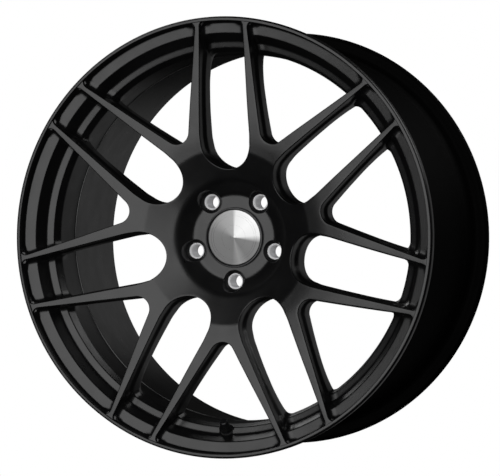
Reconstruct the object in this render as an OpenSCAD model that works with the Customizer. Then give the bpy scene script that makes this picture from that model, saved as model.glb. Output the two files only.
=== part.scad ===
// Forged racing wheel, 18 x 9 J, 5 x 100, offset 49 mm, seven twin-arm spokes.
// Millimetres. Wheel axis on Y, outboard face toward -Y, Z up, origin on the
// axis at the middle of the overall width. Depths "d" are measured rearward
// from the outboard flange crest.

/* [Rim] */
// Overall diameter over the flanges
overall_d = 497; // [480:1:520]
// Width between the tyre side faces of the flanges (J width)
rim_width = 228.6; // [200:0.1:260]
// Tyre side face of the outboard flange behind its crest
face_back = 14; // [12:0.5:16]
// Width over both flanges
overall_width = 255.6; // [240:0.1:280]
// Bead seat diameter
seat_d = 462; // [455:0.5:465]
// Smallest inside radius of the barrel, at the drop centre
well_r = 211.5; // [205:0.5:218]
// Barrel wall at the drop centre
well_wall = 5.5; // [4:0.5:8]

/* [Disc] */
// Number of Y spokes
spokes = 7; // [5:1:9]
// Mounting offset, pad face outboard of the middle of the bead seats
offset_et = 49; // [20:1:60]
// Outside radius of the mounting pad
pad_r = 75; // [68:1:80]
// Half width of the U windows near the hub
u_half_in = 29.7; // [26:0.1:34]
// Half width of the U windows at the lip
u_half_out = 25.8; // [24:0.1:32]
// Radius from the axis to the centre of the round U window end
u_centre = 106.7; // [98:0.1:112]
// Slope of the triangular window sides
tri_slope = 0.613; // [0.5:0.001:0.65]
// Corner radius at the triangular window apex
tri_tip_r = 14.6; // [6:0.1:16]
// Pocket corner radius where an arm meets the lip
flare_r = 7; // [3:0.5:12]
// Outer end of the arms
arm_end_r = 243.6; // [238:0.1:245]

/* [Hub] */
// Pitch circle diameter of the wheel bolts
pcd = 100; // [98:0.1:120]
// Number of wheel bolts
lugs = 5; // [4:1:6]
// Centre bore diameter
bore_d = 73.1; // [56:0.1:80]
// Cap bore diameter at the outboard side of the hub
cap_bore_d = 64; // [56:0.5:68]
// Bolt pocket diameter
lug_pocket_d = 25.5; // [22:0.5:30]
// Outside diameter of the pressed steel seat
seat_sleeve_d = 18; // [17:0.5:22]
// Clear hole through the steel seat
seat_hole_d = 14.6; // [12:0.1:16]

/* [Valve] */
// Radius of the valve hole on the inner shoulder of the rim
valve_r = 218.5; // [215:0.5:221]
// Valve hole diameter
valve_hole_d = 11.3; // [8.3:0.1:11.5]
// Valve stem thread diameter
valve_thread_d = 8; // [6:0.1:10]

/* [Hidden] */

rim_r = overall_d / 2;
seat_r = seat_d / 2;
lip_stand = 3.5;
crest = overall_width / 2 - lip_stand;
step = 360 / spokes;
pad_d = face_back + rim_width / 2 - offset_et;
face_d = 52.5;
seat_plane_d = 56;
cap_step_d = 66;
shelf_r = 222.6;
shelf_d = 25.6;
valve_d = 248.6 - valve_r;
cap_groove_r = cap_bore_d / 2 + 0.9;
valve_tilt = 45;
spot_depth = 1.2;
wall_len = (263.2 - 248.6) / sqrt(2) - spot_depth + 0.002;
body_black = [0.10, 0.10, 0.11];
disc_black = [0.13, 0.13, 0.14];
bare_steel = [0.72, 0.73, 0.75];
spun_alu = [0.82, 0.82, 0.83];
rubber = [0.06, 0.06, 0.06];
brass = [0.70, 0.58, 0.32];
big_fn = 180;
mid_fn = 48;
small_fn = 24;

// A profile of [radius, depth] points turned about the wheel axis.
module turned(points, fn = big_fn) {
    translate([0, -crest, 0])
    rotate([-90, 0, 0])
    rotate_extrude($fn = fn)
    polygon(points);
}

// A flat shape in X and Z pushed along the wheel axis from depth a to depth b.
module pushed(a, b) {
    translate([0, b - crest, 0])
    rotate([90, 0, 0])
    linear_extrude(height = b - a)
    children();
}

// Round bar along the wheel axis from depth a to depth b.
module axial(r, a, b, fn = mid_fn) {
    translate([0, a - crest, 0])
    rotate([-90, 0, 0])
    cylinder(h = b - a, r = r, $fn = fn);
}

// Cone along the wheel axis.
module axial_cone(ra, rb, a, b, fn = mid_fn) {
    translate([0, a - crest, 0])
    rotate([-90, 0, 0])
    cylinder(h = b - a, r1 = ra, r2 = rb, $fn = fn);
}

// Local frame of the valve: +Z runs out of the rim, zero on the spot face.
module valve_frame() {
    translate([0, valve_d - crest, -valve_r])
    rotate([valve_tilt, 0, 0])
    translate([0, 0, -spot_depth])
    children();
}

// ---- rim ----------------------------------------------------------------
// Surface shared by the barrel and the arms, from the lip step to the well.
joint_line = [[arm_end_r, 2.4], [242.8, 4.8], [240.5, 7.4], [234.4, 8.8], [230.4, 12.4],
              [228.4, 17.0], [226.4, 22.0], [shelf_r, shelf_d], [217.2, 28.0],
              [214.2, 32.0], [212.6, 38.5], [well_r, 41.0]];

// The flange rings end at these depths, at the feet of the two flanges.
front_ring_d = 15.5;
rear_ring_d = 240;

// Point of the segment p to q at depth d.
function at_depth(p, q, d) = [p[0] + (q[0] - p[0]) * (d - p[1]) / (q[1] - p[1]), d];

front_in = at_depth(joint_line[4], joint_line[5], front_ring_d);
front_out = at_depth([233.6, 15.2], [231.4, 18.2], front_ring_d);
rear_in = at_depth([226.4, 234], [231.3, 248.6], rear_ring_d);
rear_out = at_depth([231.4, 238.0], [233.6, 241.2], rear_ring_d);

front_flange = concat([for (i = [0 : 4]) joint_line[i]], [front_in, front_out],
                      [[233.6, 15.2], [237.6, 14.0], [242.6, 14.0], [245.2, 12.8],
                       [247.6, 10.0], [rim_r, 6.4], [rim_r, -0.6], [248.0, -2.4],
                       [246.9, -3.5], [245.5, -3.5], [arm_end_r, -0.2]]);

barrel = concat([front_in], [for (i = [5 : 11]) joint_line[i]],
                [[well_r, 83], [224.3, 212], [226.4, 234], rear_in, rear_out,
                 [231.4, 238.0], [seat_r, 235.0], [229.5, 220.5], [230.3, 217.5],
                 [229.8, 214.5], [228.0, 211.5], [217.6, 92.0], [217.0, 86.0],
                 [217.0, 47.0], [218.0, 45.2], [228.2, 35.0], [230.2, 32.9],
                 [230.4, 31.5], [229.6, 29.3], [seat_r, 21.0], [231.4, 18.2], front_out]);

rear_flange = [rear_in, [231.3, 248.6], [233.0, 252.1], [246.6, 252.1], [248.0, 251.2],
               [rim_r, 250.0], [rim_r, 249.4], [247.6, 246.6], [245.2, 243.8],
               [242.6, 242.6], [237.6, 242.6], [233.6, 241.2], rear_out];

module valve_hole() {
    valve_frame()
    translate([0, 0, -14])
    cylinder(h = 20, r = valve_hole_d / 2, $fn = small_fn);
}

module valve_spot() {
    valve_frame()
    cylinder(h = 12, r = 8.2, $fn = mid_fn);
}

module outboard_flange() {
    color(body_black)
    turned(front_flange);
}

module inboard_flange() {
    color(body_black)
    turned(rear_flange);
}

module rim_barrel() {
    color(body_black)
    difference() {
        turned(barrel);
        valve_hole();
        valve_spot();
    }
}

// ---- disc ---------------------------------------------------------------
disc_profile = concat(
    [[cap_bore_d / 2, face_d], [49.4, face_d], [65.8, 36.0], [99.3, 19.0], [116.4, 14.5],
     [150, 9.0], [200, 4.0], [arm_end_r, 0.2]],
    joint_line,
    [[well_r, 49.0], [205.0, 43.0], [196.0, 39.5], [180.0, 37.5], [150.0, 42.0], [117.0, 53.0],
     [100.0, 61.5], [84.0, 71.5], [pad_r + 2, 76.5], [pad_r, pad_d],
     [bore_d / 2 + 1.5, pad_d], [bore_d / 2, pad_d - 1.5], [bore_d / 2, cap_step_d],
     [cap_bore_d / 2, cap_step_d], [cap_bore_d / 2, 63.6], [cap_groove_r, 63.0],
     [cap_groove_r, 61.2], [cap_bore_d / 2, 60.6]]);

// Round U window, axis on +Z.
function u_side(z) = u_half_in + (u_half_out - u_half_in) * (z - u_centre - 8) / (arm_end_r - u_centre - 8);
u_low = [for (a = [0 : 10 : 180]) [29 * cos(180 + a), u_centre + 29 * sin(180 + a)]];
u_c = u_half_out - flare_r;
u_top = sqrt(pow(arm_end_r + 1, 2) - pow(u_half_out, 2)) - flare_r;
u_right = [for (a = [0 : 15 : 75]) [u_c + flare_r * cos(a), u_top + flare_r * sin(a)]];
u_left = [for (a = [105 : 15 : 180]) [-u_c + flare_r * cos(a), u_top + flare_r * sin(a)]];
u_crown = [for (a = [70 : 5 : 110])
           if (abs(arm_end_r * cos(a)) < u_c) [(arm_end_r + 2) * cos(a), (arm_end_r + 2) * sin(a)]];
u_points = concat(u_low, [[u_half_in, u_centre + 8]], u_right, u_crown, u_left,
                  [[-u_half_in, u_centre + 8]]);

// Triangular window, axis on +Z.
tri_a = atan(tri_slope);
tri_tip = 129.5 - 15 / tri_slope;
tri_mid = tri_tip + tri_tip_r / sin(tri_a);
tri_low = [for (a = [180 + tri_a : (180 - 2 * tri_a) / 10 : 360 - tri_a + 0.01])
           [tri_tip_r * cos(a), tri_mid + tri_tip_r * sin(a)]];
// Corner circle tangent to a side and just inside the lip step.
tri_lip = arm_end_r + 1 - flare_r;
// Side line offset inward by the corner radius meets the circle of radius tri_lip.
tri_k = tri_tip + flare_r / sin(tri_a);
tri_b = tri_k * sin(tri_a) * sin(tri_a);
tri_z = tri_b + cos(tri_a) * sqrt(pow(tri_lip, 2) - pow(tri_k * sin(tri_a), 2));
tri_x = (tri_z - tri_k) * tri_slope;
tri_ang = atan2(tri_z, tri_x);
tri_right = [for (i = [0 : 6]) let (a = -tri_a + (tri_ang + tri_a) * i / 6)
             [tri_x + flare_r * cos(a), tri_z + flare_r * sin(a)]];
tri_left = [for (i = [6 : -1 : 0]) let (a = -tri_a + (tri_ang + tri_a) * i / 6)
            [-tri_x - flare_r * cos(a), tri_z + flare_r * sin(a)]];
tri_crown = [for (i = [1 : 7]) let (a = tri_ang + (180 - 2 * tri_ang) * i / 8)
             [(arm_end_r + 2) * cos(a), (arm_end_r + 2) * sin(a)]];
tri_points = concat(tri_low, tri_right, tri_crown, tri_left);

module windows() {
    for (k = [0 : spokes - 1]) {
        rotate([0, k * step, 0])
        pushed(-8, 90)
        polygon(u_points);
        rotate([0, (k + 0.5) * step, 0])
        pushed(-8, 90)
        polygon(tri_points);
    }
}

module at_lugs() {
    for (k = [0 : lugs - 1]) {
        rotate([0, 180 + k * 360 / lugs, 0])
        translate([0, 0, pcd / 2])
        children();
    }
}

module wheel_disc() {
    color(disc_black)
    difference() {
        turned(disc_profile);
        windows();
        at_lugs()
        axial(lug_pocket_d / 2, 30, seat_plane_d);
        at_lugs()
        axial(seat_sleeve_d / 2, seat_plane_d - 1, pad_d + 2);
        valve_spot();
    }
}

module lug_seats() {
    color(bare_steel)
    at_lugs()
    difference() {
        axial(seat_sleeve_d / 2, seat_plane_d, pad_d);
        axial(seat_hole_d / 2, seat_plane_d - 2, pad_d + 2);
        axial_cone(8.9, 4.9, seat_plane_d - 0.2, seat_plane_d + 6.73);
    }
}

// ---- centre cap ---------------------------------------------------------
cap_front = 48.9;
cap_r = 34.5;
leg_n = 6;

module cap_body() {
    color(body_black)
    difference() {
        union() {
            turned([[0, 50.9], [cap_r - 0.2, 50.9], [cap_r, face_d], [31.2, face_d],
                    [31.2, 61.0], [31.85, 61.6], [31.85, 62.6], [30.8, 65.4],
                    [29.2, 65.4], [29.2, face_d + 0.6], [0, face_d + 0.6]], 72);
        }
        for (k = [0 : leg_n - 1])
            rotate([0, k * 360 / leg_n, 0])
            translate([-4, 55 - crest, 24])
            cube([8, 20, 14]);
    }
}

module cap_trim_ring() {
    color(body_black)
    turned([[32.3, 50.9], [32.3, 49.3], [32.9, cap_front - 0.3], [33.9, cap_front - 0.1],
            [cap_r, 49.9], [cap_r - 0.2, 50.9]], 72);
}

module cap_disc() {
    color(spun_alu)
    difference() {
        turned([[0, 50.5], [0, 48.6], [20, 48.75], [31.4, 49.2], [32.1, 49.6], [32.1, 50.5]], 72);
        // engraved rings of the plain generic mark
        turned([[27.0, 48.3], [27.6, 48.3], [27.6, 49.25], [27.0, 49.25]], 72);
        turned([[24.6, 48.3], [25.0, 48.3], [25.0, 49.15], [24.6, 49.15]], 72);
    }
}

module cap_adhesive() {
    color([0.3, 0.3, 0.32])
    axial(30.5, 50.5, 50.9, 72);
}

module cap_spring_ring() {
    color(bare_steel)
    translate([0, 62.6 - crest, 0])
    rotate([-90, 0, 0])
    rotate_extrude($fn = 72)
    translate([28.27, 0])
    circle(r = 0.9, $fn = 16);
}

// ---- valve --------------------------------------------------------------
stem_top = 13.6;

module valve_stem() {
    color(brass)
    valve_frame()
    difference() {
        union() {
            translate([0, 0, -wall_len - 4.5])
            cylinder(h = 2.5, r = 7.5, $fn = mid_fn);
            translate([0, 0, -wall_len - 2.2])
            cylinder(h = wall_len + 8.4, r = valve_thread_d / 2, $fn = mid_fn);
            translate([0, 0, 6.0])
            cylinder(h = stem_top - 6.0, r = 3.4, $fn = mid_fn);
        }
        translate([0, 0, -wall_len - 6])
        cylinder(h = wall_len + 5, r = 1.6, $fn = small_fn);
        translate([0, 0, -1.5])
        cylinder(h = 20, r = 2.4, $fn = small_fn);
    }
}

module ring_z(ro, ri, a, b, fn = mid_fn) {
    translate([0, 0, a])
    difference() {
        cylinder(h = b - a, r = ro, $fn = fn);
        translate([0, 0, -1])
        cylinder(h = b - a + 2, r = ri, $fn = fn);
    }
}

module valve_inner_seal() {
    color(rubber)
    valve_frame()
    ring_z(7.2, valve_thread_d / 2, -wall_len - 2, -wall_len);
}

module valve_grommet() {
    color(rubber)
    valve_frame()
    union() {
        ring_z(7.0, valve_thread_d / 2, 0, 1.0);
        ring_z(valve_hole_d / 2, valve_thread_d / 2, -4.0, 0.2);
    }
}

module valve_washer() {
    color(bare_steel)
    valve_frame()
    ring_z(6.6, valve_thread_d / 2 + 0.05, 1.0, 1.8);
}

module valve_nut() {
    color(body_black)
    valve_frame()
    difference() {
        translate([0, 0, 1.8])
        cylinder(h = 4.0, r = 6.35, $fn = 6);
        translate([0, 0, 0])
        cylinder(h = 8, r = valve_thread_d / 2, $fn = mid_fn);
    }
}

module core_body() {
    color(brass)
    valve_frame()
    difference() {
        union() {
            translate([0, 0, 8.0])
            cylinder(h = 4.6, r = 2.4, $fn = small_fn);
            translate([0, 0, 0.4])
            cylinder(h = 7.8, r = 1.9, $fn = small_fn);
        }
        translate([0, 0, -1])
        cylinder(h = 16, r = 1.05, $fn = small_fn);
        translate([0, 0, 2.2])
        cylinder(h = 6.0, r = 1.45, $fn = small_fn);
    }
}

module core_gasket() {
    color(rubber)
    valve_frame()
    ring_z(2.4, 1.9, 5.4, 7.0, small_fn);
}

module core_pin() {
    color(bare_steel)
    valve_frame()
    union() {
        translate([0, 0, -0.9])
        cylinder(h = 13.9, r = 0.45, $fn = 16);
        translate([0, 0, -0.9])
        cylinder(h = 0.6, r = 1.3, $fn = small_fn);
        translate([0, 0, 7.4])
        cylinder(h = 0.5, r = 0.98, $fn = small_fn);
    }
}

module core_seal() {
    color(rubber)
    valve_frame()
    ring_z(1.4, 0.45, -0.3, 0.4, small_fn);
}

module core_spring() {
    color(bare_steel)
    valve_frame()
    for (k = [0 : 4])
        translate([0, 0, 2.45 + k * 0.93])
        rotate_extrude($fn = small_fn)
        translate([0.82, 0])
        circle(r = 0.15, $fn = 12);
}

module valve_cap() {
    color(body_black)
    valve_frame()
    difference() {
        union() {
            translate([0, 0, 6.4])
            cylinder(h = 9.4, r = 4.6, $fn = mid_fn);
            translate([0, 0, 15.7])
            cylinder(h = 0.9, r1 = 4.6, r2 = 3.7, $fn = mid_fn);
            for (k = [0 : 11])
                rotate([0, 0, k * 30])
                translate([4.3, -0.45, 7.4])
                cube([0.7, 0.9, 7.4]);
        }
        translate([0, 0, 6.0])
        cylinder(h = 8.9, r = 3.45, $fn = mid_fn);
    }
}

module valve_cap_gasket() {
    color(rubber)
    valve_frame()
    ring_z(3.4, 1.3, stem_top, 14.9, small_fn);
}

wheel_disc();
outboard_flange();
rim_barrel();
inboard_flange();
lug_seats();
cap_body();
cap_trim_ring();
cap_disc();
cap_adhesive();
cap_spring_ring();
valve_stem();
valve_inner_seal();
valve_grommet();
valve_washer();
valve_nut();
core_body();
core_gasket();
core_pin();
core_seal();
core_spring();
valve_cap();
valve_cap_gasket();
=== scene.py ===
"""Looks for a forged seven-spoke racing wheel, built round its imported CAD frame.

Sizes are in millimetres until a mesh is made. A point of the wheel is (x, depth, z):
depth runs rearward along +Y from the outboard flange crest.
"""

import math

import bmesh
import bpy
import numpy as np
from mathutils import Matrix, Vector
from mathutils.geometry import delaunay_2d_cdt


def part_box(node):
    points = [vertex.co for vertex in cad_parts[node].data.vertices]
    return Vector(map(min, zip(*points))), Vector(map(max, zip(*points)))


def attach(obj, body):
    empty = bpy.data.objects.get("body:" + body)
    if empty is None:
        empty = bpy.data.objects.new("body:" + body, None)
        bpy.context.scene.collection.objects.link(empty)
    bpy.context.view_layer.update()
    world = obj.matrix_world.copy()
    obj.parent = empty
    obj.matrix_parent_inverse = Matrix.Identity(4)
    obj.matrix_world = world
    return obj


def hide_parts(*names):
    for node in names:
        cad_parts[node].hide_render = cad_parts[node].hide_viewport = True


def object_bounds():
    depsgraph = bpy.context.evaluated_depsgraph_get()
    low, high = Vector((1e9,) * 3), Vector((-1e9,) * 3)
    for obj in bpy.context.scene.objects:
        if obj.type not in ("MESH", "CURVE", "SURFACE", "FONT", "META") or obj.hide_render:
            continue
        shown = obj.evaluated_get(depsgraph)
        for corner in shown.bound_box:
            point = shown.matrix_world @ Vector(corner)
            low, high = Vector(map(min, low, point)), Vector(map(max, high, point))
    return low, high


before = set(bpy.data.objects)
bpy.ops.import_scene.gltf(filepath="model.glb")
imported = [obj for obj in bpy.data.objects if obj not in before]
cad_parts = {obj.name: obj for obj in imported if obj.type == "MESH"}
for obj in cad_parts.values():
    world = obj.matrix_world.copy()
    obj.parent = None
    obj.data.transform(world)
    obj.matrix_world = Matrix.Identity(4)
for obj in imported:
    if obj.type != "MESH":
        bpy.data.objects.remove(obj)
cad_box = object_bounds()

MM = 0.001
TAU = 2 * math.pi

# ---- driving dimensions, read from the frame where it has them -----------------------------
disc_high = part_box("wheel_disc")[1]
RIM_R = round(cad_box[1][0] / MM, 1)
HALF_WIDTH = round(cad_box[1][1] / MM, 1)
LIP_STAND = 3.5                       # the lip face stands this far outboard of the crest
CREST = HALF_WIDTH - LIP_STAND        # crest plane to the centre plane
PAD_D = disc_high[1] / MM + CREST     # depth of the mounting pad
SPOKES = 7
STEP = TAU / SPOKES
LUGS = 5
PCD_R = 50.0
ARM_END_R = 243.6
WELL_R = 211.5
FACE_D = 52.5
SEAT_D = 56.0
POCKET_R = 12.75
SLEEVE_R = 9.0
CAP_BORE_R = 32.0
HUB_BORE_R = 36.55
VALVE_R = 218.5
VALVE_D = 30.1
SPOT_DEPTH = 1.2
JOIN_GAP = 1e-6         # points closer than this become one, in metres


# ---- small geometry helpers -----------------------------------------------------------------
def rounded(points, reach, steps=6):
    """A polyline with each inner corner turned into a curve that starts reach mm before it."""
    points = [np.array(p, float) for p in points]
    out = [points[0]]
    for i in range(1, len(points) - 1):
        a, b, c = points[i - 1], points[i], points[i + 1]
        r = reach[i] if isinstance(reach, (list, tuple)) else reach
        la, lc = np.linalg.norm(a - b), np.linalg.norm(c - b)
        r = min(r, 0.49 * la, 0.49 * lc)
        if r < 0.02:
            out.append(b)
            continue
        p, q = b + (a - b) * r / la, b + (c - b) * r / lc
        for t in np.linspace(0, 1, steps + 1):
            out.append((1 - t) ** 2 * p + 2 * t * (1 - t) * b + t * t * q)
    out.append(points[-1])
    return np.array(out)


def resample(points, spacing):
    """A closed polyline, evenly respaced."""
    loop = np.vstack([points, points[:1]])
    run = np.concatenate([[0], np.cumsum(np.linalg.norm(np.diff(loop, axis=0), axis=1))])
    count = max(12, int(round(run[-1] / spacing)))
    at = np.linspace(0, run[-1], count, endpoint=False)
    return np.stack([np.interp(at, run, loop[:, 0]), np.interp(at, run, loop[:, 1])], 1)


def outward(loop):
    """Unit normals of a counter-clockwise closed loop, pointing away from its inside."""
    t = np.roll(loop, -1, axis=0) - np.roll(loop, 1, axis=0)
    n = np.stack([t[:, 1], -t[:, 0]], 1)
    return n / np.linalg.norm(n, axis=1)[:, None]


def turn(points, angle):
    """(x, z) points turned anticlockwise, as seen from outboard."""
    c, s = math.cos(angle), math.sin(angle)
    return np.stack([points[:, 0] * c - points[:, 1] * s, points[:, 0] * s + points[:, 1] * c], 1)


class Shell:
    """Collects rows of points and the faces between them."""

    def __init__(self):
        self.rows, self.faces, self.count = [], [], 0

    def add(self, x, depth, z):
        """Adds one row of points and returns their numbers."""
        pts = np.stack(np.broadcast_arrays(x, depth, z), 1).astype(float)
        self.rows.append(pts)
        self.count += len(pts)
        return np.arange(self.count - len(pts), self.count)

    def plan(self, xz, depth):
        """Adds a row of (x, z) points at one depth or one for each."""
        return self.add(xz[:, 0], depth, xz[:, 1])

    def lace(self, rows):
        """Closed bands of quads from each row to the next, all rows of one length."""
        for a, b in zip(rows[:-1], rows[1:]):
            a_next, b_next = np.roll(a, -1), np.roll(b, -1)
            self.faces.extend(zip(a.tolist(), a_next.tolist(), b_next.tolist(), b.tolist()))

    def build(self, name, crease_deg):
        pts = np.vstack(self.rows)
        pts[:, 1] -= CREST
        mesh = bpy.data.meshes.new(name)
        mesh.from_pydata((pts * MM).tolist(), [], self.faces)
        return finish_mesh(name, mesh, crease_deg)


def finish_mesh(name, mesh, crease_deg):
    """Joins doubled points, sharpens the creases and puts the mesh in the scene."""
    bm = bmesh.new()
    bm.from_mesh(mesh)
    bmesh.ops.remove_doubles(bm, verts=bm.verts, dist=JOIN_GAP)
    bmesh.ops.recalc_face_normals(bm, faces=bm.faces)
    limit = math.radians(crease_deg)
    for e in bm.edges:
        e.smooth = not (e.is_manifold and e.calc_face_angle(0) > limit)
    for f in bm.faces:
        f.smooth = True
    bm.to_mesh(mesh)
    bm.free()
    mesh.update()
    obj = bpy.data.objects.new(name, mesh)
    bpy.context.scene.collection.objects.link(obj)
    return obj


def lathe(name, profile, segments, place, crease_deg=38):
    """A profile of (radius, height) turned about a local Z axis, then placed by a matrix."""
    profile = np.array(profile, float)
    angles = np.linspace(0, TAU, segments, endpoint=False)
    verts, faces, rows = [], [], []
    for r, h in profile:
        if r < 1e-6:
            rows.append([len(verts)] * segments)
            verts.append((0, 0, h))
        else:
            rows.append(list(range(len(verts), len(verts) + segments)))
            verts += [(r * math.cos(a), r * math.sin(a), h) for a in angles]
    for a, b in zip(rows[:-1], rows[1:]):
        for i in range(segments):
            j = (i + 1) % segments
            quad = [a[i], a[j], b[j], b[i]]
            quad = [v for k, v in enumerate(quad) if v != quad[k - 1]]
            if len(quad) > 2:
                faces.append(quad)
    mesh = bpy.data.meshes.new(name)
    mesh.from_pydata([tuple(c * MM for c in v) for v in verts], [], faces)
    mesh.transform(place)
    return finish_mesh(name, mesh, crease_deg)


def on_axis():
    """Local Z onto the wheel axis, rearward, with zero at the flange crest."""
    return Matrix.Translation((0, -CREST * MM, 0)) @ Matrix.Rotation(-math.pi / 2, 4, "X")


def valve_place():
    """Local Z out of the rim along the valve, with zero on the spot face."""
    return (Matrix.Translation((0, (VALVE_D - CREST) * MM, -VALVE_R * MM))
            @ Matrix.Rotation(math.pi / 4, 4, "X")
            @ Matrix.Translation((0, 0, -SPOT_DEPTH * MM)))


# ---- the wheel's shared outlines -------------------------------------------------------------
# Depth of the disc's outboard face by radius: hub flat, bowl wall, hub cone, then the sweep of
# the arms up to the lip.
front_line = rounded(
    [(30, FACE_D), (49.4, FACE_D), (65.8, 36.0), (99.3, 19.0), (116.4, 14.5), (150, 9.0),
     (200, 4.0), (ARM_END_R, -1.3), (250, -1.5)],
    [0, 3.5, 4.0, 2.0, 8.0, 16.0, 20.0, 3.0, 0], 10)

# Where the arms run into the rim: lip step, ledge, steep wall, shoulder, slot and well.
joint_points = [(ARM_END_R, 2.4), (242.9, 9.6), (230.4, 12.4), (222.9, 27.2), (215.0, 29.8),
                (212.3, 38.5), (WELL_R, 41.0)]
JOINT_REACH = [0, 1.8, 1.2, 1.6, 1.2, 0.9, 0]

back_line = rounded(
    [(30, PAD_D), (75.0, PAD_D), (77.0, 76.5), (84.0, 71.5), (100, 61.5), (117, 53.0),
     (150, 42.0), (180, 37.5), (196, 39.5), (205, 43.0), (WELL_R + 0.6, 48.0), (212.9, 41.0),
     (216.2, 31.8), (224.4, 28.8), (231.9, 14.2), (243.0, 11.6), (244.6, 9.0), (250, 8.0)],
    [0, 1.0, 1.5, 5.0, 7.0, 10.0, 14.0, 8.0, 6.0, 2.0, 0.3, 0.5, 1.5, 1.5, 1.5, 1.5, 1.0, 0], 8)


def front_depth(r):
    return np.interp(r, front_line[:, 0], front_line[:, 1])


def back_depth(r):
    return np.interp(r, back_line[:, 0], back_line[:, 1])


# Round-ended U window and pointed triangular window, each with its axis on +Z.
U_CENTRE, U_ROUND_R, U_HALF_IN, U_HALF_OUT = 106.7, 29.0, 29.7, 25.8
TRI_SLOPE, TRI_TIP_R, FLARE_R = 0.613, 14.6, 7.0
TRI_POINT = 129.5 - 15 / TRI_SLOPE    # where the straight sides would meet
CROWN_R = ARM_END_R + 1.4


def u_half_outline():
    """Right half of the U window, from its lowest point up to its crown."""
    a = np.linspace(-math.pi / 2, 0, 40)
    low = np.stack([U_ROUND_R * np.cos(a), U_CENTRE + U_ROUND_R * np.sin(a)], 1)
    cx = U_HALF_OUT - FLARE_R
    cz = math.sqrt((CROWN_R - FLARE_R) ** 2 - cx ** 2)
    end = math.atan2(cz, cx)
    b = np.linspace(0, end, 14)
    corner = np.stack([cx + FLARE_R * np.cos(b), cz + FLARE_R * np.sin(b)], 1)
    side = rounded([low[-1], (U_HALF_IN, U_CENTRE + 8), corner[0]], 5.0, 8)
    c = np.linspace(end, math.pi / 2, 14)
    crown = np.stack([CROWN_R * np.cos(c), CROWN_R * np.sin(c)], 1)
    return np.vstack([low, side[1:-1], corner]), crown[1:]


def tri_half_outline():
    """Right half of the triangular window, from its point up to its crown."""
    a = math.atan(TRI_SLOPE)
    mid = TRI_POINT + TRI_TIP_R / math.sin(a)
    b = np.linspace(-math.pi / 2, -a, 24)
    low = np.stack([TRI_TIP_R * np.cos(b), mid + TRI_TIP_R * np.sin(b)], 1)
    inner = CROWN_R - FLARE_R
    k = TRI_POINT + FLARE_R / math.sin(a)
    cz = k * math.sin(a) ** 2 + math.cos(a) * math.sqrt(inner ** 2 - (k * math.sin(a)) ** 2)
    cx = (cz - k) * TRI_SLOPE
    end = math.atan2(cz, cx)
    c = np.linspace(-a, end, 16)
    corner = np.stack([cx + FLARE_R * np.cos(c), cz + FLARE_R * np.sin(c)], 1)
    d = np.linspace(end, math.pi / 2, 22)
    crown = np.stack([CROWN_R * np.cos(d), CROWN_R * np.sin(d)], 1)
    return np.vstack([low, corner]), crown[1:]


def whole(half):
    """The closed outline, counter-clockwise, from its right half."""
    side, crown = half
    right = np.vstack([side, crown])
    left = right[1:-1][::-1] * np.array([-1, 1])
    return np.vstack([right, left])


def side_distance(points, half):
    """Signed distance to a window's sides and corners in its own frame, positive inside."""
    side = half[0]
    p = np.stack([np.abs(points[:, 0]), points[:, 1]], 1)
    a, b = side[:-1], side[1:]
    best = np.full(len(p), 1e9)
    sign = np.ones(len(p))
    for i in range(len(a)):
        ab = b[i] - a[i]
        t = np.clip(((p - a[i]) @ ab) / (ab @ ab), 0, 1)
        gap = p - (a[i] + t[:, None] * ab)
        dist = np.linalg.norm(gap, axis=1)
        cross = ab[0] * gap[:, 1] - ab[1] * gap[:, 0]
        closer = dist < best
        best = np.where(closer, dist, best)
        sign = np.where(closer, np.where(cross >= 0, 1, -1), sign)
    return best * sign


U_HALF, TRI_HALF = u_half_outline(), tri_half_outline()
SPACING = 1.7            # between the points of a window outline
windows = []
for spoke in range(SPOKES):
    windows.append(turn(resample(whole(U_HALF), SPACING), spoke * STEP))
    windows.append(turn(resample(whole(TRI_HALF), SPACING), (spoke + 0.5) * STEP))


def window_distance(xz):
    """Signed distance to the nearest window side, positive inside a window."""
    angle = np.arctan2(xz[:, 1], xz[:, 0]) - math.pi / 2
    r = np.hypot(xz[:, 0], xz[:, 1])
    best = np.full(len(xz), -1e9)
    for half, offset in ((U_HALF, 0.0), (TRI_HALF, 0.5)):
        local = (angle / STEP - offset + 0.5) % 1.0 - 0.5
        a = np.abs(local) * STEP
        best = np.maximum(best, side_distance(np.stack([r * np.sin(a), r * np.cos(a)], 1), half))
    return best


# ---- the disc: hub, spokes and arms ----------------------------------------------------------
EDGE_R = 1.1             # rounding of the outboard window edges
BACK_EDGE_R = 1.6        # rounding of the window edges at the back
POCKET_EDGE_R = 0.6      # rounding of the lug pockets
EDGE_PARTS = (0.06, 0.22, 0.45, 0.72, 1.0)      # places across a rounding
WALL_PARTS = (0.0, 0.12, 0.24, 0.3, 0.36, 0.42, 0.48, 0.54, 0.6, 0.8, 1.0)    # down a side wall
OUTER_R = 247.0          # the arms end inside the lip
STEP_FROM, STEP_REACH = 8.0, 11.0     # walls this deep step out, fully so when deeper by the reach
STEP_OUT = 2.1
PLAN_MARGIN = 0.9        # inner points keep this clear of the loops
POCKET_SIDES, BORE_SIDES, RIM_SEGMENTS = 72, 168, 840


def radius(xz):
    return np.hypot(xz[:, 0], xz[:, 1])


def smooth(s):
    """Eases from 0 to 1, level at both ends."""
    return s * s * (3 - 2 * s)


def fillet_drop(e, r):
    """Drop of a rounded edge at a distance e from the wall, for a rounding radius r."""
    return r - np.sqrt(np.maximum(0, r * r - (r - np.minimum(e, r)) ** 2))


def circle(centre, r, count):
    a = np.linspace(0, TAU, count, endpoint=False)
    return np.stack([centre[0] + r * np.cos(a), centre[1] + r * np.sin(a)], 1)


LUG_ANGLES = [-math.pi / 2 + i * TAU / LUGS for i in range(LUGS)]
LUG_CENTRES = [np.array([PCD_R * math.cos(a), PCD_R * math.sin(a)]) for a in LUG_ANGLES]


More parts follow.
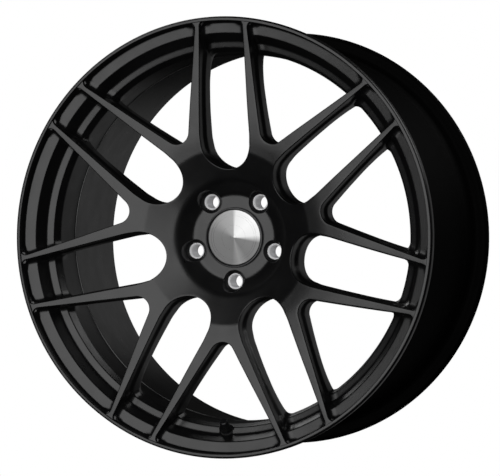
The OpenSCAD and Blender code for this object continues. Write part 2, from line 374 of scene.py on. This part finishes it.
def wall_room(r):
    """A window wall's top depth, its height, and how far its foot steps out, by radius."""
    top = front_depth(r) + EDGE_R
    room = np.maximum(back_depth(r) - BACK_EDGE_R - top, 0.3)
    return top, room, STEP_OUT * smooth(np.clip((room - STEP_FROM) / STEP_REACH, 0, 1))


def window_wall(shell, outline):
    """A window's side wall, rounded at both ends; returns its front and back loops."""
    n = outward(outline)
    top, room, out_by = wall_room(radius(outline))
    rows, loops = [], []
    for part in reversed(EDGE_PARTS):
        e = part * EDGE_R
        loops.append(outline + n * e)
        rows.append(shell.plan(loops[-1], front_depth(radius(loops[-1])) + fillet_drop(e, EDGE_R)))
    for t in WALL_PARTS:
        s = smooth(np.clip((t - 0.27) / 0.24, 0, 1))
        rows.append(shell.plan(outline - n * (out_by * s)[:, None], top + room * t))
    for part in EDGE_PARTS:
        e = part * BACK_EDGE_R
        loops.append(outline - n * (out_by - e)[:, None])
        rows.append(shell.plan(loops[-1], back_depth(radius(loops[-1])) - fillet_drop(e, BACK_EDGE_R)))
    shell.lace(rows)
    return (rows[0], loops[0]), (rows[-1], loops[-1])


def lug_pocket(shell, centre):
    """A bolt hole with its pocket and sleeve bore; returns its front and back loops."""
    rows = []
    for e in (POCKET_EDGE_R, 0.4, 0.22, 0.08, 0.0):
        at = circle(centre, POCKET_R + e, POCKET_SIDES)
        rows.append(shell.plan(at, front_depth(radius(at)) + fillet_drop(e, POCKET_EDGE_R)))
    wall = circle(centre, POCKET_R, POCKET_SIDES)
    top = front_depth(radius(wall)) + POCKET_EDGE_R
    for t in (0.35, 0.7, 1.0):
        rows.append(shell.plan(wall, top + (FACE_D + 0.8 - top) * t))
    floor_and_bore = [(POCKET_R - 0.3, FACE_D + 1.1), (SLEEVE_R + 0.7, SEAT_D - 0.3),
                      (SLEEVE_R + 0.25, SEAT_D), (SLEEVE_R + 0.02, SEAT_D + 0.3),
                      (SLEEVE_R + 0.02, PAD_D - 0.5), (SLEEVE_R + 0.5, PAD_D)]
    for r, d in floor_and_bore:
        at = circle(centre, r, POCKET_SIDES)
        rows.append(shell.plan(at, np.full(POCKET_SIDES, d)))
    shell.lace(rows)
    return (rows[0], circle(centre, POCKET_R + POCKET_EDGE_R, POCKET_SIDES)), (rows[-1], at)


# The bore by (radius, depth), from the hub face past the groove for the cap's hooks to the pad.
GROOVE_R = CAP_BORE_R + 0.9
BORE = [(CAP_BORE_R + 0.8, FACE_D), (CAP_BORE_R, FACE_D + 0.8), (CAP_BORE_R, 60.6), (GROOVE_R, 61.2),
        (GROOVE_R, 63.0), (CAP_BORE_R, 63.6), (CAP_BORE_R, 65.6), (CAP_BORE_R + 0.4, 66.0),
        (HUB_BORE_R, 66.0), (HUB_BORE_R, PAD_D - 1.5), (HUB_BORE_R + 1.5, PAD_D)]


def spaced(*runs):
    """Radii in runs of (first, end, gap)."""
    return np.concatenate([np.arange(*run) for run in runs])


FRONT_RADII = spaced((34.2, 45, 1.9), (45.6, 54, 0.9), (54.6, 61.5, 1.5), (62, 70, 0.9), (71.5, 96.5, 2.0),
                     (97, 102, 0.7), (103, 235, 2.1), (236, 247, 1.5))
BACK_RADII = spaced((40, 73, 2.4), (74, 79, 0.8), (80.5, 205, 2.4), (206, 247, 1.2))


def keeper(hub_r, window_gap, lug_r):
    """A test for plan points on the disc, clear of its bore, windows, lug holes and outer end."""
    def keep(xz, margin=PLAN_MARGIN):
        r = radius(xz)
        gap = window_gap(r) + margin
        ok = (r > hub_r + margin) & (r < OUTER_R - margin)
        ok &= (window_distance(xz) <= -gap) | (r >= CROWN_R + gap)
        for c in LUG_CENTRES:
            ok &= np.linalg.norm(xz - c, axis=1) > lug_r + margin
        return ok
    return keep


def fill_face(shell, loops, depth_of, radii, keep, gap):
    """Triangulates the plan between loops already in the shell, with rings of points inside."""
    flat, index, edges = [], [], []
    for idx, xz in loops:
        start = len(flat)
        flat += [tuple(p) for p in xz]
        index += idx.tolist()
        edges += [(start + i, start + (i + 1) % len(xz)) for i in range(len(xz))]
    rings = []
    for i, r in enumerate(radii):
        count = int(round(TAU * r / gap / SPOKES)) * SPOKES
        a = (np.arange(count) + 0.5 * (i % 2)) * TAU / count + math.pi / 2
        rings.append(np.stack([r * np.cos(a), r * np.sin(a)], 1))
    inner = np.vstack(rings)
    inner = inner[keep(inner)]
    index += shell.plan(inner, depth_of(radius(inner))).tolist()
    flat += [tuple(p) for p in inner]
    out = delaunay_2d_cdt([Vector(p) for p in flat], edges, [], 0, 1e-7, True)
    verts, faces, origin = out[0], out[2], out[3]
    xy = np.array([(v[0], v[1]) for v in verts])
    centre = np.array([xy[list(f)].mean(axis=0) for f in faces])
    for f, ok in zip(faces, keep(centre, 0.0)):
        if ok:
            shell.faces.append(tuple(index[origin[v][0]] for v in f))


def make_disc():
    shell = Shell()
    openings = [window_wall(shell, outline) for outline in windows]
    openings += [lug_pocket(shell, centre) for centre in LUG_CENTRES]
    front, back = [list(loops) for loops in zip(*openings)]

    rows = [shell.plan(circle((0, 0), r, BORE_SIDES), np.full(BORE_SIDES, d)) for r, d in BORE]
    shell.lace(rows)
    front.insert(0, (rows[0], circle((0, 0), BORE[0][0], BORE_SIDES)))
    back.insert(0, (rows[-1], circle((0, 0), BORE[-1][0], BORE_SIDES)))

    # the hidden outer end, inside the lip
    ring = circle((0, 0), OUTER_R, RIM_SEGMENTS)
    at_end = np.full(RIM_SEGMENTS, OUTER_R)
    ends = [shell.plan(ring, front_depth(at_end)), shell.plan(ring, back_depth(at_end))]
    shell.lace(ends)
    front.insert(1, (ends[0], ring))
    back.insert(1, (ends[1], ring))

    clear_of_front = keeper(BORE[0][0], lambda r: EDGE_R, POCKET_R + POCKET_EDGE_R)
    clear_of_back = keeper(BORE[-1][0], lambda r: BACK_EDGE_R - wall_room(r)[2], SLEEVE_R + 0.5)
    fill_face(shell, front, front_depth, FRONT_RADII, clear_of_front, 1.9)
    fill_face(shell, back, back_depth, BACK_RADII, clear_of_back, 2.3)
    return shell.build("disc_look", 32)


# ---- the rim ---------------------------------------------------------------------------------
FILLET_R = 9.5                        # largest rounding between the pocket floor and the arms
FILLET_END_D, FILLET_FADE = 54.0, 12.0      # it fades out over this stretch of the well

# Inside of the barrel by (radius, depth), from the well to the rear face.
BARREL_INNER = [(WELL_R, 41.0), (WELL_R, 83.4), (WELL_R - 1.0, 83.8), (WELL_R - 0.9, 86.0),
                (224.3, 212.0), (226.4, 235.0), (231.3, 248.6), (233.2, 252.1), (246.6, 252.1)]
INNER_REACH = [0, 0.15, 0.15, 0.8, 2.0, 3.0, 1.0, 1.4, 0]

# Tyre side by (radius, depth, reach): rear flange, bead seat, hump, drop centre, then the same
# on the outboard side up to the lip.
TYRE_SIDE = [
    (233.2, 252.1, 0), (246.4, 252.1, 2.0), (RIM_R, 250.6, 1.0), (RIM_R, 249.0, 1.0),
    (247.2, 246.2, 1.6), (244.6, 243.0, 2.0), (241.0, 242.6, 1.5), (235.0, 242.4, 2.6),
    (231.2, 238.2, 2.2), (231.0, 235.0, 1.0), (229.5, 220.5, 1.2), (230.3, 217.5, 1.0),
    (229.6, 214.0, 1.5), (227.8, 210.0, 1.5), (217.6, 92.0, 4.0), (217.0, 84.0, 3.0),
    (217.0, 46.0, 3.0), (228.4, 35.0, 2.0), (230.4, 32.2, 1.0), (229.6, 29.3, 1.2),
    (231.0, 20.6, 2.0), (231.3, 18.0, 1.2), (234.4, 14.6, 2.4), (241.0, 14.0, 1.6),
    (245.2, 12.8, 2.0), (247.6, 10.0, 1.6), (RIM_R, 6.4, 1.4), (RIM_R, -0.9, 1.4),
    (247.0, -LIP_STAND, 1.2), (ARM_END_R + 0.4, -LIP_STAND, 0.3), (ARM_END_R, -2.9, 0.3),
    (ARM_END_R, 2.4, 0)]
WELL_DEPTHS = (44.0, 47.0, 50.0, 54.0, 60.0, 70.0)


def split_long(points, longest):
    """Adds points wherever two neighbours are farther apart than a length."""
    out = [points[0]]
    for a, b in zip(points[:-1], points[1:]):
        cuts = max(1, int(np.linalg.norm(b - a) / longest))
        out += [a + (b - a) * (i + 1) / cuts for i in range(cuts)]
    return np.array(out)


def rim_profile():
    """The closed outline of the rim, and how many of its points the pocket fillets bend."""
    joint = split_long(rounded(joint_points, JOINT_REACH, 6), 1.2)
    well = np.array([(WELL_R, d) for d in WELL_DEPTHS])
    inner = rounded(BARREL_INNER, INNER_REACH, 5)
    outer = rounded([p[:2] for p in TYRE_SIDE], [p[2] for p in TYRE_SIDE], 5)
    profile = np.vstack([joint, well, inner[1:-1], outer[2:-1]])
    lengths = np.linalg.norm(np.diff(profile, axis=0), axis=1)
    profile = profile[np.concatenate([[True], lengths > 1e-4])]
    return split_long(profile, 14.0), len(joint) + 4


def cut_valve_hole(rim):
    """Cuts the valve hole and its spot face."""
    spot = lathe("spot_cut", [(0, 0), (8.2, 0), (8.2, 14), (0, 14)], 64, valve_place())
    hole = lathe("hole_cut", [(0, -16), (5.65, -16), (5.65, 5), (0, 5)], 64, valve_place())
    for cutter in (spot, hole):
        m = rim.modifiers.new("cut", "BOOLEAN")
        m.operation, m.object, m.solver = "DIFFERENCE", cutter, "EXACT"
    bpy.context.view_layer.update()
    cut_mesh = bpy.data.meshes.new_from_object(rim.evaluated_get(bpy.context.evaluated_depsgraph_get()))
    rim.modifiers.clear()
    old = rim.data
    rim.data = cut_mesh
    bpy.data.meshes.remove(old)
    for cutter in (spot, hole):
        bpy.data.objects.remove(cutter)


def make_rim():
    profile, bent = rim_profile()
    t = np.roll(profile, -1, axis=0) - np.roll(profile, 1, axis=0)
    normal = -np.abs(np.stack([t[:, 1], t[:, 0]], 1) / np.linalg.norm(t, axis=1)[:, None])
    angles = np.linspace(0, TAU, RIM_SEGMENTS, endpoint=False)
    shell = Shell()
    rows = []
    for i, (r, d) in enumerate(profile):
        rr, dd = np.full(RIM_SEGMENTS, r), np.full(RIM_SEGMENTS, d)
        if 0 < i < bent:
            # concave fillets between the pocket floor and the sides of the arms
            gap = window_distance(np.stack([r * np.cos(angles), r * np.sin(angles)], 1))
            height = d - float(front_depth(r))
            rho = min(FILLET_R, max(0.2, 0.6 * height))
            fade = float(np.clip((FILLET_END_D - d) / FILLET_FADE, 0, 1))
            h = fillet_drop(np.maximum(gap, 0.0), rho) * fade
            rr, dd = rr + normal[i][0] * h, dd + normal[i][1] * h
        rows.append(shell.add(rr * np.cos(angles), dd, rr * np.sin(angles)))
    rows.append(rows[0])
    shell.lace(rows)
    rim = shell.build("rim_look", 30)
    cut_valve_hole(rim)
    return rim


# ---- materials -------------------------------------------------------------------------------
def material(name, color, rough, metal=0.0, bump=(), **extra):
    """A principled material with layers of fine noise: bump = (scale, strength, distance) rows."""
    mat = bpy.data.materials.new(name)
    mat.use_nodes = True
    tree = mat.node_tree
    shader = tree.nodes["Principled BSDF"]
    shader.inputs["Base Color"].default_value = (*color, 1)
    shader.inputs["Metallic"].default_value = metal
    shader.inputs["Roughness"].default_value = rough
    for key, value in extra.items():
        shader.inputs[key.replace("_", " ")].default_value = value
    coord = tree.nodes.new("ShaderNodeTexCoord")
    last = None
    for scale, strength, distance in bump:
        noise = tree.nodes.new("ShaderNodeTexNoise")
        noise.inputs["Scale"].default_value = scale
        noise.inputs["Detail"].default_value = 3
        tree.links.new(coord.outputs["Object"], noise.inputs["Vector"])
        node = tree.nodes.new("ShaderNodeBump")
        node.inputs["Strength"].default_value = strength
        node.inputs["Distance"].default_value = distance
        tree.links.new(noise.outputs["Fac"], node.inputs["Height"])
        if last:
            tree.links.new(last.outputs["Normal"], node.inputs["Normal"])
        last = node
    if last:
        tree.links.new(last.outputs["Normal"], shader.inputs["Normal"])
    return mat


def vary_roughness(mat, scale, low, high):
    """Lets the roughness wander between two values in cloudy patches."""
    tree = mat.node_tree
    shader = tree.nodes["Principled BSDF"]
    coord = tree.nodes.new("ShaderNodeTexCoord")
    noise = tree.nodes.new("ShaderNodeTexNoise")
    noise.inputs["Scale"].default_value = scale
    noise.inputs["Detail"].default_value = 5
    ramp = tree.nodes.new("ShaderNodeMapRange")
    ramp.inputs["From Min"].default_value = 0.3
    ramp.inputs["From Max"].default_value = 0.7
    ramp.inputs["To Min"].default_value = low
    ramp.inputs["To Max"].default_value = high
    tree.links.new(coord.outputs["Object"], noise.inputs["Vector"])
    tree.links.new(noise.outputs["Fac"], ramp.inputs["Value"])
    tree.links.new(ramp.outputs["Result"], shader.inputs["Roughness"])
    return mat


# Painted highlight: tone of the spun disc's base colour by part of a turn about its axis, a fixed fan that
# stands in for the highlight its circular grain catches.
PAINTED_FAN_TONES = [(0.0, 0.10), (0.24, 0.10), (0.29, 0.16), (0.35, 0.10), (0.47, 0.11), (0.515, 0.44),
       (0.62, 0.50), (0.735, 0.46), (0.76, 0.22), (0.86, 0.19), (0.95, 0.11), (1.0, 0.10)]


def add_grain_and_painted_fan(mat):
    """Gives a metal its circular grain, and a painted highlight: a fixed fan of light and dark sectors in its
    base colour, by angle about its axis.
    """
    tree = mat.node_tree
    shader = tree.nodes["Principled BSDF"]
    grain = tree.nodes.new("ShaderNodeTangent")
    grain.direction_type, grain.axis = "RADIAL", "Y"
    tree.links.new(grain.outputs["Tangent"], shader.inputs["Tangent"])
    place = tree.nodes.new("ShaderNodeTexCoord")
    split = tree.nodes.new("ShaderNodeSeparateXYZ")
    join = tree.nodes.new("ShaderNodeCombineXYZ")
    fan = tree.nodes.new("ShaderNodeTexGradient")
    fan.gradient_type = "RADIAL"
    ramp = tree.nodes.new("ShaderNodeValToRGB")
    tree.links.new(place.outputs["Object"], split.inputs["Vector"])
    tree.links.new(split.outputs["X"], join.inputs["X"])
    tree.links.new(split.outputs["Z"], join.inputs["Y"])
    tree.links.new(join.outputs["Vector"], fan.inputs["Vector"])
    tree.links.new(fan.outputs["Fac"], ramp.inputs["Fac"])
    tree.links.new(ramp.outputs["Color"], shader.inputs["Base Color"])
    while len(ramp.color_ramp.elements) < len(PAINTED_FAN_TONES):
        ramp.color_ramp.elements.new(0.5)
    for element, (at, tone) in zip(ramp.color_ramp.elements, PAINTED_FAN_TONES):
        element.position = at
        element.color = (tone, tone, tone, 1)
    return mat


black_coat = vary_roughness(
    material("satin_black_coat", (0.0035, 0.0035, 0.0037), 0.4,
             bump=((700, 0.12, 0.0003), (2200, 0.10, 0.0001))),
    45, 0.27, 0.34)
# painted shade: a darker, less reflective copy of the black coat, for the tyre side
painted_shade_coat = material("painted_shade_black_coat", (0.0012, 0.0012, 0.0012), 0.6, bump=((900, 0.1, 0.0002),),
                     Specular_IOR_Level=0.025)
bare_steel = material("bare_steel", (0.90, 0.90, 0.91), 0.45, metal=0.3, bump=((1500, 0.05, 0.0001),))
black_plastic = material("black_plastic", (0.012, 0.012, 0.013), 0.38, bump=((1800, 0.06, 0.0001),))
# the spun disc's base colour carries a painted highlight fan
spun = add_grain_and_painted_fan(material("spun_aluminium", (0.12, 0.12, 0.12), 0.30, metal=1.0, Anisotropic=0.6))
rubber_mat = material("black_rubber", (0.015, 0.015, 0.015), 0.7, bump=((1200, 0.1, 0.0001),))
brass_mat = material("brass", (0.62, 0.48, 0.22), 0.3, metal=1.0, bump=((1500, 0.04, 0.0001),))
anodised = material("anodised_black", (0.012, 0.012, 0.013), 0.34, metal=0.6, bump=((1500, 0.05, 0.0001),))
foam = material("foam_tape", (0.25, 0.25, 0.26), 0.8, bump=((900, 0.2, 0.0002),))

# ---- assemble --------------------------------------------------------------------------------
# centre cap: a slightly domed spun disc with plain engraved rings
CAP_FACE_D, CAP_DOME, CAP_FACE_R = 48.55, 0.65, 32.0
CAP_BANDS = [(0.0, 3.2, 0), (3.2, 3.6, 0.12), (3.6, 14.0, 0), (14.0, 14.4, 0.12), (14.4, 24.6, 0),
             (24.6, 25.0, 0.25), (25.0, 27.0, 0), (27.0, 27.6, 0.3), (27.6, 31.2, 0)]
CAP_EDGE = [(31.7, 49.4), (32.1, 49.8), (32.1, 50.5), (0, 50.5)]
face = [(0, CAP_FACE_D)]
for start, end, cut in CAP_BANDS:
    steps = max(2, int((end - start) / 0.8))
    for r in np.linspace(start + 0.02, end - 0.02, steps):
        face.append((r, CAP_FACE_D + CAP_DOME * (r / CAP_FACE_R) ** 2 + cut))
face += CAP_EDGE
cap_face = lathe("cap_face", face, 192, on_axis(), 30)
cap_face.data.materials.append(spun)
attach(cap_face, "centre_cap")
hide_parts("cap_disc")

disc = make_disc()
disc.data.materials.append(black_coat)
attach(disc, "wheel")
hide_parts("wheel_disc")

rim = make_rim()
rim.data.materials.clear()
rim.data.materials.append(black_coat)
rim.data.materials.append(painted_shade_coat)
# painted shade: the tyre side gets a darker, less reflective copy of the black coat standing in for shade:
# what faces outwards, and everything beyond the rear bead seat
REAR_BEAD_R, MID_DEPTH = 0.232, 100
for poly in rim.data.polygons:
    c = poly.center
    r = math.hypot(c.x, c.z)
    outwards = (poly.normal.x * c.x + poly.normal.z * c.z) / r
    depth = c.y / MM + CREST
    rear_flange = r > REAR_BEAD_R and depth > MID_DEPTH
    poly.material_index = int(8.0 < depth < 251.5 and (outwards > 0.3 or rear_flange))
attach(rim, "wheel")
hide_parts("rim_barrel", "outboard_flange", "inboard_flange")

node_finish = {
    "lug_seats": bare_steel, "cap_body": black_plastic, "cap_trim_ring": black_plastic,
    "cap_adhesive": foam, "cap_spring_ring": bare_steel, "valve_stem": brass_mat,
    "valve_inner_seal": rubber_mat, "valve_grommet": rubber_mat, "valve_washer": anodised,
    "valve_nut": anodised, "core_body": brass_mat, "core_gasket": rubber_mat, "core_pin": bare_steel,
    "core_seal": rubber_mat, "core_spring": bare_steel, "valve_cap": anodised, "valve_cap_gasket": rubber_mat}
for name, mat in node_finish.items():
    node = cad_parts[name]
    node.data.materials.clear()
    node.data.materials.append(mat)

# ---- stage, light and camera -----------------------------------------------------------------
FLOOR_HALF = 30             # metres
corners = [(x * FLOOR_HALF, y * FLOOR_HALF, -RIM_R * MM) for x, y in ((-1, -1), (1, -1), (1, 1), (-1, 1))]
mesh = bpy.data.meshes.new("floor")
mesh.from_pydata(corners, [], [(0, 1, 2, 3)])
floor = bpy.data.objects.new("floor", mesh)
bpy.context.scene.collection.objects.link(floor)
floor_mat = bpy.data.materials.new("pale_floor")
floor_mat.use_nodes = True
shader = floor_mat.node_tree.nodes["Principled BSDF"]
shader.inputs["Base Color"].default_value = (0.0, 0.0, 0.0, 1)
shader.inputs["Roughness"].default_value = 1.0
shader.inputs["Specular IOR Level"].default_value = 0.0
shader.inputs["Emission Color"].default_value = (1, 1, 1, 1)
shader.inputs["Emission Strength"].default_value = 1.0
floor.data.materials.append(floor_mat)
floor.visible_glossy = False
floor.visible_diffuse = False
floor.visible_shadow = False

# the surroundings are white to the camera and almost black as a light
world = bpy.data.worlds.new("studio")
bpy.context.scene.world = world
world.use_nodes = True
wt = world.node_tree
back = wt.nodes["Background"]
back.inputs["Color"].default_value = (0.006, 0.006, 0.006, 1)
white = wt.nodes.new("ShaderNodeBackground")
white.inputs["Color"].default_value = (1, 1, 1, 1)
path = wt.nodes.new("ShaderNodeLightPath")
mix = wt.nodes.new("ShaderNodeMixShader")
wt.links.new(path.outputs["Is Camera Ray"], mix.inputs["Fac"])
wt.links.new(back.outputs["Background"], mix.inputs[1])
wt.links.new(white.outputs["Background"], mix.inputs[2])
wt.links.new(mix.outputs["Shader"], wt.nodes["World Output"].inputs["Surface"])


def area_light(name, azimuth, elevation, distance, size, radiance, target=(0, -0.1, 0)):
    """A softbox aimed at a target; azimuth 0 is straight in front of the wheel, positive to the right."""
    a, e = math.radians(azimuth), math.radians(elevation)
    where = Vector((math.sin(a) * math.cos(e), -math.cos(a) * math.cos(e), math.sin(e))) * distance
    data = bpy.data.lights.new(name, "AREA")
    data.shape = "RECTANGLE"
    data.size, data.size_y = size
    data.energy = radiance * math.pi * size[0] * size[1]
    obj = bpy.data.objects.new(name, data)
    obj.location = Vector(target) + where
    obj.rotation_euler = (-where).to_track_quat("-Z", "Y").to_euler()
    obj.visible_camera = False
    bpy.context.scene.collection.objects.link(obj)


area_light("front_box", 2, 7, 3.0, (4.3, 3.9), 2.2)
area_light("back_box", 128, 35, 3.0, (2.0, 1.6), 1.6)
area_light("back_box_left", -128, 35, 3.0, (2.0, 1.6), 1.6)
area_light("barrel_fill", 168, -6, 2.5, (1.7, 2.2), 0.16, (0, 0.1, 0))

# the camera, with its distance and aim in flange radii
CAM_AZIMUTH, CAM_ROLL = math.radians(20.17), math.radians(0.45)
CAM_DISTANCE = 11.80 * RIM_R * MM
AIM_RIGHT, AIM_DOWN = 0.1403 * RIM_R * MM, 0.0016 * RIM_R * MM
front_centre = Vector((0, -CREST * MM, 0))
to_camera = Vector((math.sin(CAM_AZIMUTH), -math.cos(CAM_AZIMUTH), 0))
right_dir = Vector((math.cos(CAM_AZIMUTH), math.sin(CAM_AZIMUTH), 0))
cam_data = bpy.data.cameras.new("camera")
cam_data.sensor_width = 36.0
cam_data.lens = 187.92
cam_data.clip_end = 100
camera = bpy.data.objects.new("camera", cam_data)
camera.location = front_centre + to_camera * CAM_DISTANCE
aim = front_centre + right_dir * AIM_RIGHT + Vector((0, 0, -AIM_DOWN))
look = (aim - camera.location).to_track_quat("-Z", "Y").to_matrix()
camera.rotation_euler = (look @ Matrix.Rotation(CAM_ROLL, 3, "Z")).to_euler()
bpy.context.scene.collection.objects.link(camera)
bpy.context.scene.camera = camera
bpy.context.scene.view_settings.view_transform = "Standard"
